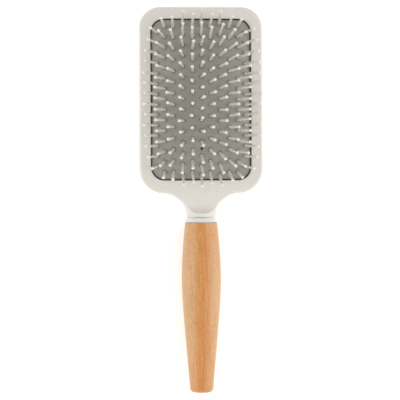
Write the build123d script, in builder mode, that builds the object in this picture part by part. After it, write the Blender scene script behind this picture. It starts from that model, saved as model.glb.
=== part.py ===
"""Paddle hairbrush: a two-shell plastic head holding a pneumatic rubber cushion, and a turned wooden handle.

Frame: +Y runs from the handle to the head, +Z is the way the pins point, and the brush lies on its back on z = 0.
The origin is below the middle of the brush's length. All sizes are in millimetres.
"""

import os
import random
from math import cos, pi, radians, sin, sqrt

from build123d import *

os.makedirs("parts", exist_ok=True)

# ---- overall ------------------------------------------------------------------------------------
length = 250.0
tip_y = length / 2  # the head's far end
butt_y = -length / 2  # the handle's free end
axis_z = 12.8  # the handle's centre line, which is also the parting plane of the head's two shells
face_z = 18.5  # the head's flat front face

# ---- head outline -------------------------------------------------------------------------------
head_width = 80.0
head_corner = 13.6
shoulder_radius = 16.0
shoulder_y = 20.45  # where the straight sides end and the shoulders begin
neck_radius = 9.3
neck_curve = 15.5  # radius, in plan, of the hollow between shoulder and neck
hollow_end_x = 13.5  # how far the paddle's own outline follows the hollow
root_y = -2.0  # where the paddle ends on the centre line, inside the neck
neck_proud = 0.1  # how far the turned neck stands outside the paddle's outline
flare_radius, flare_depth = 14.6, 9.5  # where the neck's hollow turns into a cone, and the cone's length
neck_end_y = -11.25
scoop_radius, scoop_start_y = 6.0, -3.1  # the flat face's run-up onto the round neck
front_round = 1.5
back_round = 7.0
back_z = 0.2  # the flat back stands this far above the lowest point of the handle
end_chamfer = 0.3

# ---- opening and cushion ------------------------------------------------------------------------
pad_y = 65.1  # centre of the opening and of the cushion
opening_width, opening_length, opening_corner = 65.2, 104.7, 8.8
opening_round = 0.6
lip_wall = 1.6
lip_bottom_z = 14.05
crevice = 0.7  # the gap between the lip and the rubber
rim_z = 16.5  # where the rubber's crown starts
crown = 9.0
rubber = 1.5  # thickness of the membrane
skirt = 1.6
flange_reach = 2.5  # how far the flange runs under the frame, from the opening's edge
flange_bottom_z, flange_top_z = 12.65, 14.0
half_a = opening_width / 2 - crevice  # half width of the crowned area
half_b = opening_length / 2 - crevice
vent_offset = -31.9  # vent hole, from the cushion's centre
vent_radius = 0.75

# ---- pins ---------------------------------------------------------------------------------------
column_x = [0.0, 5.75, 11.95, 18.1, 23.75, 28.55]
column_reach = [48.9, 47.05, 48.85, 46.85, 47.05, 43.35]  # half the length of each column of pins
even_count, odd_count = 15, 14
above_vent, below_vent = 12, 3
vent_gap = 9.1  # between the two pins beside the vent
pin_height = 18.0
pin_foot_radius, pin_foot = 1.45, 0.75
foot_depth = 1.75  # from the rubber's outer face down to the top of the foot
pin_shank_radius = 0.85
pin_hole_radius = 0.9
pin_root_radius, pin_neck_radius, pin_ball_radius = 1.05, 0.62, 1.05
root_lift = 0.1
lean_scatter = 1.1  # degrees, standard deviation of how far a pin leans off square
loop_names = ["outer", "second", "third", "fourth", "fifth"]

# ---- shell walls --------------------------------------------------------------------------------
wall = 2.0
floor_wall = 2.2
chamber_low_y = 9.4
chamber_corner = 14.0
chamber_round = 5.5
tongue, tongue_height, tongue_gap = 0.8, 1.0, 0.1
seat_wall, seat_inset = 1.8, 0.1
seat_gap = 0.05

# ---- ring and handle ----------------------------------------------------------------------------
ring_top_y, ring_bottom_y = -11.45, -14.65
ring_radius_top, ring_radius_bottom = 9.4, 10.3
tenon_radius, tenon_end_y, tenon_chamfer = 4.0, 7.0, 0.6
bore_radius, bore_end_y = 4.05, 7.2
wood_top_y = -14.75
wood_profile = [  # y and radius of the turned handle
    (wood_top_y, 10.5),
    (-32.0, 12.0),
    (-50.5, axis_z),
    (-72.0, 11.8),
    (-98.0, 9.65),
    (-122.2, 7.65),
]
butt_round = 2.8


def crown_height(x, y):
    """Height of the cushion's outer face above its rim, at x, y from the cushion's centre."""
    u, v = x / half_a, abs(y) / half_b
    return crown * (1 - 0.727 * u**2 - 0.273 * u**4) * (1 - v**3.2)


def crown_normal(x, y):
    step = 0.05
    slope_x = (crown_height(x + step, y) - crown_height(x - step, y)) / (2 * step)
    slope_y = (crown_height(x, y + step) - crown_height(x, y - step)) / (2 * step)
    return Vector(-slope_x, -slope_y, 1).normalized()


def spaced(first, last, count):
    return [first + (last - first) * i / (count - 1) for i in range(count)]


def column_rows(column):
    """The y of each pin in a column, from the head's end to the handle's."""
    reach = column_reach[abs(column)]
    if column == 0:  # the middle column leaves room for the vent
        above = spaced(reach, vent_offset + vent_gap / 2, above_vent)
        below = spaced(vent_offset - vent_gap / 2, -reach, below_vent)
        return above + below
    return spaced(reach, -reach, odd_count if column % 2 else even_count)


def pin_group(column, row, count):
    """The name of the part of the nested loops of pins that a pin belongs to."""
    from_side, from_top, from_bottom = 5 - abs(column), row, count - 1 - row
    loop = min(from_side, from_top, from_bottom)
    if loop == 5:
        return "pins_centre"
    if loop == from_side:
        return f"pins_{loop_names[loop]}_{'left' if column < 0 else 'right'}"
    return f"pins_{loop_names[loop]}_{'top' if loop == from_top else 'bottom'}"


def place_pins():
    """The plane each pin stands on, its z along the pin, by the name of the pin's group."""
    scatter = random.Random(11)
    groups = {}
    for column in range(-5, 6):
        rows = column_rows(column)
        x = column_x[abs(column)] * (1 if column > 0 else -1)
        for row, y in enumerate(rows):
            lean = Vector(scatter.gauss(0, 1), scatter.gauss(0, 1), 0) * radians(lean_scatter)
            direction = (crown_normal(x, y) + lean).normalized()
            foot = Vector(x, pad_y + y, rim_z + crown_height(x, y))
            place = Plane(origin=foot, x_dir=(0, 1, 0), z_dir=direction)
            groups.setdefault(pin_group(column, row, len(rows)), []).append(place)
    return groups


def crown_solid(top_z):
    """A block whose upper side is the cushion's crown, its rim at top_z."""
    across = spaced(-1.02, 1.02, 25)
    along = spaced(-1.02, 1.02, 41)
    grid = [
        [(half_a * u, pad_y + half_b * v, top_z + crown_height(half_a * u, half_b * v)) for v in along]
        for u in across
    ]
    face = Face.make_surface_from_array_of_points(grid, tol=0.002, min_deg=3, max_deg=5)
    return Solid.extrude(face, Vector(0, 0, -20))


def opening(grow, mode=Mode.ADD):
    """The opening's outline, made larger by grow on every side."""
    with Locations((0, pad_y)):
        RectangleRounded(
            opening_width + 2 * grow, opening_length + 2 * grow, opening_corner + grow, mode=mode
        )


def chamber_outline(grow, mode=Mode.ADD):
    """The inside of the head's outer wall, made larger by grow on every side."""
    high_y = tip_y - wall
    with Locations((0, (high_y + chamber_low_y) / 2)):
        RectangleRounded(
            head_width - 2 * wall + 2 * grow,
            high_y - chamber_low_y + 2 * grow,
            chamber_corner + grow,
            mode=mode,
        )


# ---- the head's outer form: a flat paddle joined to a turned neck ------------------------------------
edge_x, corner_x, corner_y = head_width / 2, head_width / 2 - head_corner, tip_y - head_corner
shoulder_x = edge_x - shoulder_radius
hollow_x = neck_radius + neck_curve
between = shoulder_radius + neck_curve
hollow_y = shoulder_y - sqrt(between**2 - (hollow_x - shoulder_x) ** 2)
share = shoulder_radius / between
meet = (shoulder_x + share * (hollow_x - shoulder_x), shoulder_y + share * (hollow_y - shoulder_y))


def hollow_at(x, centre_x):
    """The y where a hollow centred at centre_x passes x."""
    return hollow_y + sqrt(neck_curve**2 - (centre_x - x) ** 2)


with BuildPart() as paddle:
    with BuildSketch(Plane.XY.offset(back_z)):
        with BuildLine():
            Line((0, tip_y), (corner_x, tip_y))
            RadiusArc((corner_x, tip_y), (edge_x, corner_y), head_corner)
            Line((edge_x, corner_y), (edge_x, shoulder_y))
            RadiusArc((edge_x, shoulder_y), meet, shoulder_radius)
            hollow_end = (hollow_end_x, hollow_at(hollow_end_x, hollow_x))
            RadiusArc(meet, hollow_end, -neck_curve)
            Line(hollow_end, (0, root_y))
            mirror(about=Plane.YZ)
        make_face()
    extrude(amount=face_z - back_z)
    fillet(paddle.faces().sort_by(Axis.Z)[-1].outer_wire().edges(), front_round)
    fillet(paddle.faces().sort_by(Axis.Z)[0].outer_wire().edges(), back_round)

with BuildPart() as neck:
    with BuildSketch():
        with BuildLine():
            waist = (neck_radius + neck_proud, hollow_y)
            flare = (flare_radius, hollow_at(flare_radius, hollow_x + neck_proud))
            RadiusArc(waist, flare, neck_curve)
            Polyline(
                flare,
                (flare[0] + flare_depth, flare[1] + flare_depth),
                (0, flare[1] + flare_depth),
                (0, neck_end_y),
                (waist[0] - end_chamfer, neck_end_y),
                (waist[0], neck_end_y + end_chamfer),
                waist,
            )
        make_face()
    revolve(axis=Axis.Y)

with BuildPart() as head:
    add(paddle.part)
    with Locations((0, 0, axis_z)):
        add(neck.part)
    with BuildSketch(Plane.YZ):
        with BuildLine():
            ramp = (scoop_start_y - scoop_radius, face_z + scoop_radius)
            RadiusArc((scoop_start_y, face_z), ramp, scoop_radius)
            Polyline(ramp, (ramp[0], 60), (60, 60), (60, face_z), (scoop_start_y, face_z))
        make_face()
    extrude(amount=head_width, both=True, mode=Mode.SUBTRACT)
    with BuildSketch(Plane.XY.offset(back_z)):
        Rectangle(2 * head_width, 2 * length)
    extrude(amount=-50, mode=Mode.SUBTRACT)
    with BuildSketch(Plane.XZ.offset(-bore_end_y)):
        with Locations((0, axis_z)):
            Circle(bore_radius)
    extrude(amount=bore_end_y - neck_end_y, mode=Mode.SUBTRACT)

# ---- the head's two shells -------------------------------------------------------------------------
with BuildPart() as chamber:
    with BuildSketch(Plane.XY.offset(floor_wall)):
        chamber_outline(0)
    extrude(amount=axis_z - floor_wall)
    fillet(chamber.faces().sort_by(Axis.Z)[0].outer_wire().edges(), chamber_round)

with BuildPart() as back_shell:
    add(head.part)
    split(bisect_by=Plane.XY.offset(axis_z), keep=Keep.BOTTOM)
    add(chamber.part, mode=Mode.SUBTRACT)
    with BuildSketch(Plane.XY.offset(floor_wall - 1)):
        opening(flange_reach - seat_inset)
        opening(flange_reach - seat_inset - seat_wall, mode=Mode.SUBTRACT)
    extrude(amount=flange_bottom_z - seat_gap - floor_wall + 1)
    with BuildSketch(Plane.XY.offset(axis_z)):
        chamber_outline(tongue)
        chamber_outline(0, mode=Mode.SUBTRACT)
    extrude(amount=tongue_height)
back_shell.part.label = "back_shell"

with BuildPart() as front_frame:
    add(head.part)
    split(bisect_by=Plane.XY.offset(axis_z), keep=Keep.TOP)
    with BuildSketch(Plane.XY.offset(axis_z)):
        chamber_outline(0)
    extrude(amount=face_z - wall - axis_z, mode=Mode.SUBTRACT)
    with BuildSketch(Plane.XY.offset(axis_z)):
        chamber_outline(tongue + tongue_gap)
    extrude(amount=tongue_height + tongue_gap, mode=Mode.SUBTRACT)
    with BuildSketch(Plane.XY.offset(lip_bottom_z)):
        opening(lip_wall)
    extrude(amount=face_z - wall / 2 - lip_bottom_z)
    with BuildSketch(Plane.XY.offset(axis_z)):
        opening(0)
    extrude(amount=face_z - axis_z, mode=Mode.SUBTRACT)
    fillet(front_frame.faces().filter_by(Plane.XY).sort_by(Axis.Z)[-1].inner_wires().edges(), opening_round)
front_frame.part.label = "front_frame"

# ---- the cushion ------------------------------------------------------------------------------------
pins = place_pins()
outer_crown = crown_solid(rim_z)
inner_crown = crown_solid(rim_z - rubber)

with BuildPart() as air:
    with BuildSketch(Plane.XY.offset(flange_bottom_z - 1)):
        opening(-crevice - skirt)
    extrude(amount=rim_z + crown)
    add(inner_crown, mode=Mode.INTERSECT)

with BuildPart() as cushion:
    with BuildSketch(Plane.XY.offset(flange_bottom_z)):
        opening(-crevice)
    extrude(amount=rim_z + crown)
    add(outer_crown, mode=Mode.INTERSECT)
    with BuildSketch(Plane.XY.offset(flange_bottom_z)):
        opening(flange_reach)
    extrude(amount=flange_top_z - flange_bottom_z)
    add(air.part, mode=Mode.SUBTRACT)
    with Locations(*(place.location for group in pins.values() for place in group)):
        Cylinder(pin_hole_radius, 4 * rubber, mode=Mode.SUBTRACT)
    with Locations((0, pad_y + vent_offset, rim_z + crown)):
        Cylinder(vent_radius, 6 * rubber, mode=Mode.SUBTRACT)
cushion.part.label = "cushion"

# ---- the pins ---------------------------------------------------------------------------------------
with BuildPart() as pin:
    with BuildSketch(Plane.XZ):
        with BuildLine():
            foot_top = -foot_depth
            ball_z = pin_height - pin_ball_radius
            throat_z = ball_z - sqrt(pin_ball_radius**2 - pin_neck_radius**2)
            Polyline(
                (0, pin_height),
                (0, foot_top - pin_foot),
                (pin_foot_radius, foot_top - pin_foot),
                (pin_foot_radius, foot_top),
                (pin_shank_radius, foot_top),
                (pin_shank_radius, root_lift),
                (pin_root_radius, root_lift),
                (pin_neck_radius, throat_z),
            )
            ThreePointArc((pin_neck_radius, throat_z), (pin_ball_radius, ball_z), (0, pin_height))
        make_face()
    revolve(axis=Axis.Z)

for name, places in pins.items():
    with BuildPart() as pin_rows:
        with Locations(*(place.location for place in places)):
            add(pin.part)
    pin_rows.part.label = name
    export_step(pin_rows.part, f"parts/{name}.step")

# ---- the ring and the handle ------------------------------------------------------------------------
with BuildPart() as ring:
    with BuildSketch():
        with BuildLine():
            Polyline(
                (bore_radius, ring_bottom_y),
                (bore_radius, ring_top_y),
                (ring_radius_top - end_chamfer, ring_top_y),
                (ring_radius_top, ring_top_y - end_chamfer),
                (ring_radius_bottom, ring_bottom_y + end_chamfer),
                (ring_radius_bottom - end_chamfer, ring_bottom_y),
                (bore_radius, ring_bottom_y),
            )
        make_face()
    revolve(axis=Axis.Y)
ring.part.label = "ring"

with BuildPart() as handle:
    with BuildSketch():
        with BuildLine():
            side = Spline([(radius, y) for y, radius in wood_profile])
            end_y, end_radius = wood_profile[-1]
            butt_x = end_radius - butt_round
            ThreePointArc(
                (end_radius, end_y),
                (butt_x + butt_round * cos(pi / 4), end_y - butt_round * sin(pi / 4)),
                (butt_x, butt_y),
            )
            Polyline(
                (butt_x, butt_y),
                (0, butt_y),
                (0, tenon_end_y),
                (tenon_radius - tenon_chamfer, tenon_end_y),
                (tenon_radius, tenon_end_y - tenon_chamfer),
                (tenon_radius, wood_top_y),
                side @ 0,
            )
        make_face()
    revolve(axis=Axis.Y)
handle.part.label = "handle"

for node in (ring, handle):
    node.part.move(Location((0, 0, axis_z)))

export_step(front_frame.part, "parts/front_frame.step")
export_step(back_shell.part, "parts/back_shell.step")
export_step(cushion.part, "parts/cushion.step")
export_step(ring.part, "parts/ring.step")
export_step(handle.part, "parts/handle.step")
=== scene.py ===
"""Paddle hairbrush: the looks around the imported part, in metres, in the part's own frame.

The brush lies on its back on a lit white table, seen from almost straight above.
"""

import math

import bpy
from mathutils import Matrix, Vector


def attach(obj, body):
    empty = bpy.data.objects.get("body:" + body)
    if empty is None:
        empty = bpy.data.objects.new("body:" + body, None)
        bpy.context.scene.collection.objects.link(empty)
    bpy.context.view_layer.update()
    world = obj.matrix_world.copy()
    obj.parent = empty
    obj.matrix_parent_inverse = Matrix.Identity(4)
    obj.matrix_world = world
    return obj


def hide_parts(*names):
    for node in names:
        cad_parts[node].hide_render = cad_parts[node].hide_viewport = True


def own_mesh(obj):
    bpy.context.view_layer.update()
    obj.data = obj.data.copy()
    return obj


MM = 0.001

# ---- sizes taken over from the part -----------------------------------------------------------
PAD_Y = 65.1 * MM  # centre of the cushion
RIM_Z = 16.5 * MM  # where the crown starts
CROWN = 9.0 * MM
HALF_A, HALF_B = 31.9 * MM, 51.65 * MM  # half width and half length of the crown
PAD_CORNER = 8.1 * MM
SKIRT_Z = 14.2 * MM  # how far down the crevice the rubber is shown
RIM_ROUND = 0.4 * MM
DIMPLE_DEPTH, DIMPLE_WIDTH, DIMPLE_REACH = 0.32, 1.15, 2.4  # the dent round each pin, in millimetres
PIN_SHADOW_START, PIN_SHADOW_FADE, PIN_SHADOW_DARK = 0.9, 0.45, 0.75  # the painted shadow ring round each pin's foot, and how dark it is
VENT_DEPTH = 1.8 * MM
AXIS_Z = 12.8 * MM  # the handle's centre line
COLUMN_X = [0.0, 5.75, 11.95, 18.1, 23.75, 28.55]
COLUMN_REACH = [48.9, 47.05, 48.85, 46.85, 47.05, 43.35]
VENT_Y, VENT_GAP, VENT_RADIUS = -31.9, 9.1, 0.75

# ---- the picture --------------------------------------------------------------------------------
CAMERA_DISTANCE = 1.2
CAMERA_LEFT = math.radians(3.5)  # how far the camera stands to the left of square on
CAMERA_ROLL = math.radians(0.25)
AIM = Vector((-0.00075, 0.0, 0.0145))
VIEW_WIDTH = 0.2598  # how much the picture takes in, across, at the aim point
PANEL_AWAY, PANEL_Z = 1.1, 0.6  # how far to the side the light panels stand, and how high


def spaced(first, last, count):
    return [first + (last - first) * i / (count - 1) for i in range(count)]


# ---- node materials -------------------------------------------------------------------------------
class Shader:
    """A Principled material with short calls for the nodes that feed it."""

    def __init__(self, name, roughness=0.5, **settings):
        self.material = bpy.data.materials.new(name)
        self.material.use_nodes = True
        self.tree = self.material.node_tree
        self.surface = self.tree.nodes["Principled BSDF"]
        self.surface.inputs["Roughness"].default_value = roughness
        for socket, value in settings.items():
            self.surface.inputs[socket.replace("_", " ")].default_value = value
        self.place = self.tree.nodes.new("ShaderNodeTexCoord").outputs["Object"]

    def node(self, kind, inputs=None, **settings):
        made = self.tree.nodes.new(kind)
        for name, value in settings.items():
            setattr(made, name, value)
        for key, value in (inputs or {}).items():
            if isinstance(value, bpy.types.NodeSocket):
                self.tree.links.new(value, made.inputs[key])
            else:
                made.inputs[key].default_value = value
        return made

    def stretched(self, scale):
        return self.node("ShaderNodeMapping", {"Vector": self.place, "Scale": scale}).outputs["Vector"]

    def noise(self, scale, detail=4.0, roughness=0.5, vector=None, distortion=0.0):
        made = self.node(
            "ShaderNodeTexNoise",
            {
                "Vector": vector or self.place,
                "Scale": scale,
                "Detail": detail,
                "Roughness": roughness,
                "Distortion": distortion,
            },
        )
        return made.outputs["Fac"]

    def ramp(self, value, *stops):
        """A colour for each stop (position, colour) along value."""
        made = self.node("ShaderNodeValToRGB", {"Fac": value})
        colours = made.color_ramp.elements
        while len(colours) < len(stops):
            colours.new(0.5)
        for element, (position, colour) in zip(colours, stops):
            element.position = position
            element.color = (*colour, 1.0)
        return made.outputs["Color"]

    def span(self, value, low, high, to_low, to_high):
        made = self.node(
            "ShaderNodeMapRange",
            {"Value": value, "From Min": low, "From Max": high, "To Min": to_low, "To Max": to_high},
        )
        return made.outputs["Result"]

    def math(self, operation, a, b=0.0):
        return self.node("ShaderNodeMath", {0: a, 1: b}, operation=operation).outputs[0]

    def mix(self, factor, a, b):
        return self.node("ShaderNodeMix", {0: factor, 6: a, 7: b}, data_type="RGBA").outputs[2]

    def colour(self, socket):
        self.tree.links.new(socket, self.surface.inputs["Base Color"])

    def roughness(self, socket):
        self.tree.links.new(socket, self.surface.inputs["Roughness"])

    def bump(self, height, distance, strength=1.0, under=None):
        inputs = {"Height": height, "Distance": distance, "Strength": strength}
        if under:
            inputs["Normal"] = under
        normal = self.node("ShaderNodeBump", inputs).outputs["Normal"]
        self.tree.links.new(normal, self.surface.inputs["Normal"])
        return normal


def cream_plastic():
    """Satin moulded plastic: a faint cloudiness in the colour and a fine eroded grain."""
    made = Shader("cream_plastic", Subsurface_Weight=0.06, Subsurface_Scale=0.003, Specular_IOR_Level=0.42)
    cloud = made.noise(38.0, 3.0)
    made.colour(made.ramp(cloud, (0.3, (0.66, 0.63, 0.58)), (0.72, (0.69, 0.66, 0.61))))
    speck = made.noise(1700.0, 2.0)
    made.roughness(made.span(speck, 0.3, 0.7, 0.36, 0.46))
    swell = made.bump(cloud, 0.00025, 0.25)
    made.bump(made.noise(2600.0, 2.0), 0.00002, 0.5, under=swell)
    return made.material


def grey_rubber():
    """Matt grey rubber: dusty bloom, a fine skin texture, and painted shade round each pin's foot and in
    the vent.
    """
    made = Shader("grey_rubber", Specular_IOR_Level=0.4, Sheen_Weight=0.35, Sheen_Roughness=0.5)
    bloom = made.noise(55.0, 5.0, 0.6)
    base = made.ramp(bloom, (0.28, (0.27, 0.268, 0.241)), (0.74, (0.335, 0.332, 0.30)))
    # painted shade: the attribute holds the painted shadow round each pin's foot and in the vent, and
    # there the rubber is mixed towards near black
    near = made.node("ShaderNodeAttribute", attribute_name="painted_pin_and_vent_shadow").outputs["Fac"]
    made.colour(made.mix(near, base, (0.045, 0.043, 0.038, 1.0)))
    made.roughness(made.span(bloom, 0.3, 0.7, 0.5, 0.66))
    skin = made.bump(made.noise(900.0, 4.0, 0.6), 0.00006, 0.6)
    made.bump(made.noise(3200.0, 2.0), 0.00002, 0.6, under=skin)
    return made.material


def ivory_pin():
    """Glossy moulded nylon in the head's cream, a little see-through, uneven in patches."""
    made = Shader("ivory_pin", Subsurface_Weight=0.25, Subsurface_Scale=0.0012, IOR=1.55)
    made.surface.inputs["Subsurface Radius"].default_value = (1.0, 0.85, 0.65)
    patch = made.noise(420.0, 3.0)
    made.colour(made.ramp(patch, (0.3, (0.66, 0.625, 0.565)), (0.7, (0.74, 0.705, 0.645))))
    made.roughness(made.span(patch, 0.3, 0.7, 0.24, 0.36))
    made.bump(made.noise(2400.0, 2.0), 0.00001, 0.4)
    return made.material


def satin_ring():
    """A turned white ring under satin lacquer, with fine tool lines round its axis."""
    made = Shader("satin_ring", Coat_Weight=0.4, Coat_Roughness=0.25)
    lines = made.noise(900.0, 3.0, vector=made.stretched((0.4, 6.0, 0.4)))
    made.colour(made.ramp(lines, (0.3, (0.67, 0.66, 0.645)), (0.7, (0.71, 0.70, 0.69))))
    made.roughness(made.span(lines, 0.3, 0.7, 0.3, 0.42))
    made.bump(lines, 0.00002, 0.4)
    return made.material


def beech():
    """Oiled beech: the wood's warm colour with painted light across the handle, darker in the middle and
    painted pale towards the sides, with soft grain, flecks and fine pores.
    """
    made = Shader("beech", Specular_IOR_Level=0.5, Coat_Weight=0.15, Coat_Roughness=0.3)
    parts = made.node("ShaderNodeSeparateXYZ", {"Vector": made.place})
    wander = made.noise(22.0, 3.0, vector=made.stretched((1.0, 0.45, 1.0)))
    # painted light: the distance from the handle's middle drives a painted reflection of the side panels,
    # darker and more saturated in the middle and paler to the sides
    painted_sheen_offset = made.math("ADD", parts.outputs["X"], made.span(wander, 0.2, 0.8, -0.005, 0.005))
    side = made.math("ABSOLUTE", painted_sheen_offset)
    painted_sheen_and_grain = made.ramp(
        made.span(side, 0.0, 0.0105, 0.0, 1.0),
        (0.0, (0.56, 0.215, 0.045)),
        (0.3, (0.58, 0.235, 0.058)),
        (0.65, (0.57, 0.285, 0.10)),
        (1.0, (0.56, 0.33, 0.15)),
    )
    grown = made.noise(230.0, 4.0, 0.55, vector=made.stretched((1.0, 0.07, 1.0)), distortion=0.4)
    # the real grain, fibres and flecks are mixed over the painted light band
    painted_sheen_and_grain = made.mix(made.span(grown, 0.5, 0.72, 0.0, 0.5), painted_sheen_and_grain, (0.46, 0.19, 0.055, 1.0))
    fibre = made.noise(800.0, 5.0, 0.6, vector=made.stretched((1.0, 0.07, 1.0)))
    painted_sheen_and_grain = made.mix(made.span(fibre, 0.42, 0.72, 0.0, 0.45), painted_sheen_and_grain, (0.70, 0.42, 0.18, 1.0))
    fleck = made.noise(1500.0, 3.0, vector=made.stretched((1.0, 0.4, 1.0)))
    made.colour(made.mix(made.span(fleck, 0.5, 0.7, 0.0, 0.5), painted_sheen_and_grain, (0.36, 0.125, 0.03, 1.0)))
    made.roughness(made.span(fibre, 0.3, 0.7, 0.36, 0.5))
    grain = made.bump(fibre, 0.00005, 0.35)
    made.bump(fleck, 0.00004, 0.35, under=grain)
    return made.material


# ---- the cushion ------------------------------------------------------------------------------------
def crown_height(x, y):
    """The dome's height above the rim, at x, y from its centre."""
    u, v = x / HALF_A, abs(y) / HALF_B
    return CROWN * (1 - 0.727 * u**2 - 0.273 * u**4) * (1 - v**3.2)


def pin_feet():
    """Where each pin goes through the rubber, from the cushion's centre."""
    feet = []
    for column in range(-5, 6):
        x, reach = COLUMN_X[abs(column)], COLUMN_REACH[abs(column)]
        if column == 0:
            rows = spaced(reach, VENT_Y + VENT_GAP / 2, 12) + spaced(VENT_Y - VENT_GAP / 2, -reach, 3)
        else:
            rows = spaced(reach, -reach, 14 if column % 2 else 15)
        feet += [(math.copysign(x, column) * MM, y * MM) for y in rows]
    return feet


def outline(inset, long_points, short_points, corner_points):
    """A rounded rectangle inside the rim, anticlockwise, each side always with as many points."""
    a, b = HALF_A - inset, HALF_B - inset
    r = PAD_CORNER * max(1 - inset / HALF_A, 0.0)
    points = []
    for quarter, count in enumerate((short_points, long_points, short_points, long_points)):
        centre = ((a - r, b - r), (-a + r, b - r), (-a + r, -b + r), (a - r, -b + r))[quarter]
        after = ((-a + r, b - r), (-a + r, -b + r), (a - r, -b + r), (a - r, b - r))[quarter]
        for i in range(corner_points):
            angle = math.pi / 2 * (quarter + i / corner_points)
            points.append((centre[0] + r * math.cos(angle), centre[1] + r * math.sin(angle)))
        angle = math.pi / 2 * (quarter + 1)
        edge = (r * math.cos(angle), r * math.sin(angle))
        for i in range(count):
            t = i / count
            points.append(
                (
                    centre[0] + (after[0] - centre[0]) * t + edge[0],
                    centre[1] + (after[1] - centre[1]) * t + edge[1],
                )
            )
    return points


def cushion():
    """The rubber dome as loops from the rim inwards, with a dimple at each pin, a vent and a skirt, and
    painted shade round each pin and in the vent.
    """
    feet = pin_feet()
    cell = 4 * MM
    nearby = {}
    for x, y in feet:
        key = (math.floor(x / cell), math.floor(y / cell))
        for i in (-1, 0, 1):
            for j in (-1, 0, 1):
                nearby.setdefault((key[0] + i, key[1] + j), []).append((x, y))

    vertices, shades = [], []
    insets = [0.0, 0.15, 0.3, 0.5, 0.75] + spaced(1.1, HALF_A / MM, 78)
    skirt = [(0.0, z) for z in (SKIRT_Z, (SKIRT_Z + RIM_Z) / 2)]
    loops = [(inset, z) for inset, z in skirt] + [(inset * MM, None) for inset in insets]
    for inset, fixed_z in loops:
        for x, y in outline(inset, 220, 120, 20):
            if fixed_z is not None:
                vertices.append((x, PAD_Y + y, fixed_z))
                shades.append(0.0)
                continue
            z = RIM_Z + crown_height(x, y)
            if inset < RIM_ROUND:
                z -= RIM_ROUND - math.sqrt(RIM_ROUND**2 - (RIM_ROUND - inset) ** 2)
            shade = 0.0
            for px, py in nearby.get((math.floor(x / cell), math.floor(y / cell)), ()):
                gap = math.hypot(x - px, y - py) / MM
                if gap < DIMPLE_REACH:
                    z -= DIMPLE_DEPTH * MM * math.exp(-((gap / DIMPLE_WIDTH) ** 2))
                    # painted shadow round the pin's foot, darkest next to the pin and fading outwards
                    faded = max(gap - PIN_SHADOW_START, 0) / PIN_SHADOW_FADE
                    shade = max(shade, PIN_SHADOW_DARK * math.exp(-(faded**2)))
            gap = math.hypot(x, y - VENT_Y * MM) / MM
            if gap < 2 * VENT_RADIUS:
                z -= VENT_DEPTH / (1 + (gap / VENT_RADIUS) ** 8)
                # painted shade: the vent hole is painted near black where its recess lies in shadow
                shade = max(shade, 1 / (1 + (gap / VENT_RADIUS) ** 10))
            vertices.append((x, PAD_Y + y, z))
            shades.append(shade)

    count = len(vertices) // len(loops)
    faces = []
    for loop in range(len(loops) - 1):
        for i in range(count):
            j = (i + 1) % count
            start, after = loop * count, (loop + 1) * count
            faces.append((start + i, start + j, after + j, after + i))
    mesh = bpy.data.meshes.new("cushion_rubber")
    mesh.from_pydata(vertices, [], faces)
    # the painted shadow round the pins and in the vent goes to the shader as a point attribute
    mesh.attributes.new("painted_pin_and_vent_shadow", "FLOAT", "POINT").data.foreach_set("value", shades)
    mesh.shade_smooth()
    made = bpy.data.objects.new("cushion_rubber", mesh)
    bpy.context.scene.collection.objects.link(made)
    return made


# ---- stage ------------------------------------------------------------------------------------------
def white_table():
    mesh = bpy.data.meshes.new("table")
    size, drop = 3.0, -0.2 * MM
    corners = [(-size, -size, drop), (size, -size, drop), (size, size, drop), (-size, size, drop)]
    mesh.from_pydata(corners, [], [(0, 1, 2, 3)])
    table = bpy.data.objects.new("table", mesh)
    bpy.context.scene.collection.objects.link(table)
    made = Shader("white_table", roughness=0.7, Emission_Strength=0.3)
    made.surface.inputs["Emission Color"].default_value = (1.0, 1.0, 1.0, 1.0)
    made.colour(made.ramp(made.noise(3.0, 2.0), (0.3, (0.86, 0.86, 0.86)), (0.7, (0.88, 0.88, 0.88))))
    mesh.materials.append(made.material)


def softbox(name, place, size, radiance):
    """A square area light that faces the middle of the brush."""
    data = bpy.data.lights.new(name, "AREA")
    data.size, data.energy = size, math.pi * size**2 * radiance
    light = bpy.data.objects.new(name, data)
    light.location = place
    toward = Vector((0, 0, 0.015)) - light.location
    light.rotation_euler = toward.to_track_quat("-Z", "Y").to_euler()
    bpy.context.scene.collection.objects.link(light)


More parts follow.
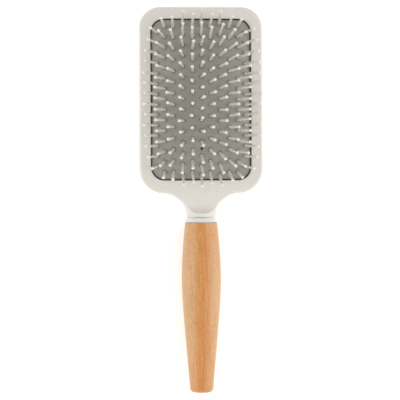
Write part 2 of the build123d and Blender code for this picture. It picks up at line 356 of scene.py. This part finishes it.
def studio():
    """White panels to both sides and a weaker one beyond the handle, under a pale even ceiling."""
    world = bpy.data.worlds.new("studio")
    world.use_nodes = True
    tree = world.node_tree
    place = tree.nodes.new("ShaderNodeTexCoord")
    parts = tree.nodes.new("ShaderNodeSeparateXYZ")
    fade = tree.nodes.new("ShaderNodeMapRange")
    for socket, value in {"From Min": 0.1, "From Max": 0.95, "To Min": 0.62, "To Max": 0.72}.items():
        fade.inputs[socket].default_value = value
    tree.links.new(place.outputs["Generated"], parts.inputs["Vector"])
    tree.links.new(parts.outputs["Z"], fade.inputs["Value"])
    tree.links.new(fade.outputs["Result"], tree.nodes["Background"].inputs["Strength"])
    tree.nodes["Background"].inputs["Color"].default_value = (1.0, 1.0, 1.0, 1.0)
    bpy.context.scene.world = world
    softbox("panel_left", (-PANEL_AWAY, 0.0, PANEL_Z), 1.1, 1.8)
    softbox("panel_right", (PANEL_AWAY, 0.0, PANEL_Z), 1.1, 2.15)
    softbox("panel_near", (0.0, -1.2, PANEL_Z), 0.9, 1.3)


def camera():
    data = bpy.data.cameras.new("camera")
    data.sensor_width = 36.0
    data.lens = data.sensor_width * CAMERA_DISTANCE / VIEW_WIDTH
    made = bpy.data.objects.new("camera", data)
    back = Vector((-math.sin(CAMERA_LEFT), 0, math.cos(CAMERA_LEFT)))
    up = Vector((math.sin(CAMERA_ROLL), math.cos(CAMERA_ROLL), 0))
    right = up.cross(back).normalized()
    up = back.cross(right)
    turn = Matrix((right, up, back)).transposed().to_4x4()
    made.matrix_world = Matrix.Translation(AIM + back * CAMERA_DISTANCE) @ turn
    bpy.context.scene.collection.objects.link(made)
    bpy.context.scene.camera = made


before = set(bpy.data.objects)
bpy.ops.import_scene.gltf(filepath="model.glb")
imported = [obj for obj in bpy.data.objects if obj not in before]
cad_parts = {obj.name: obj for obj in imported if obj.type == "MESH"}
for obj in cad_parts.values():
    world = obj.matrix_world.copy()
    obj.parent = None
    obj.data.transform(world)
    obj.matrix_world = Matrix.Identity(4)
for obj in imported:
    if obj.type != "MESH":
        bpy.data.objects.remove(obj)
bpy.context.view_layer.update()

looks = {
    "front_frame": cream_plastic(),
    "ring": satin_ring(),
    "handle": beech(),
}
looks["back_shell"] = looks["front_frame"]
pin_look = ivory_pin()
for name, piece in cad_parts.items():
    piece.data.materials.clear()
    piece.data.materials.append(looks.get(name, pin_look))

rubber = cushion()
rubber.data.materials.append(grey_rubber())
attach(rubber, "brush")
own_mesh(rubber)
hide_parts("cushion")

white_table()
studio()
camera()
bpy.context.scene.view_settings.view_transform = "Standard"
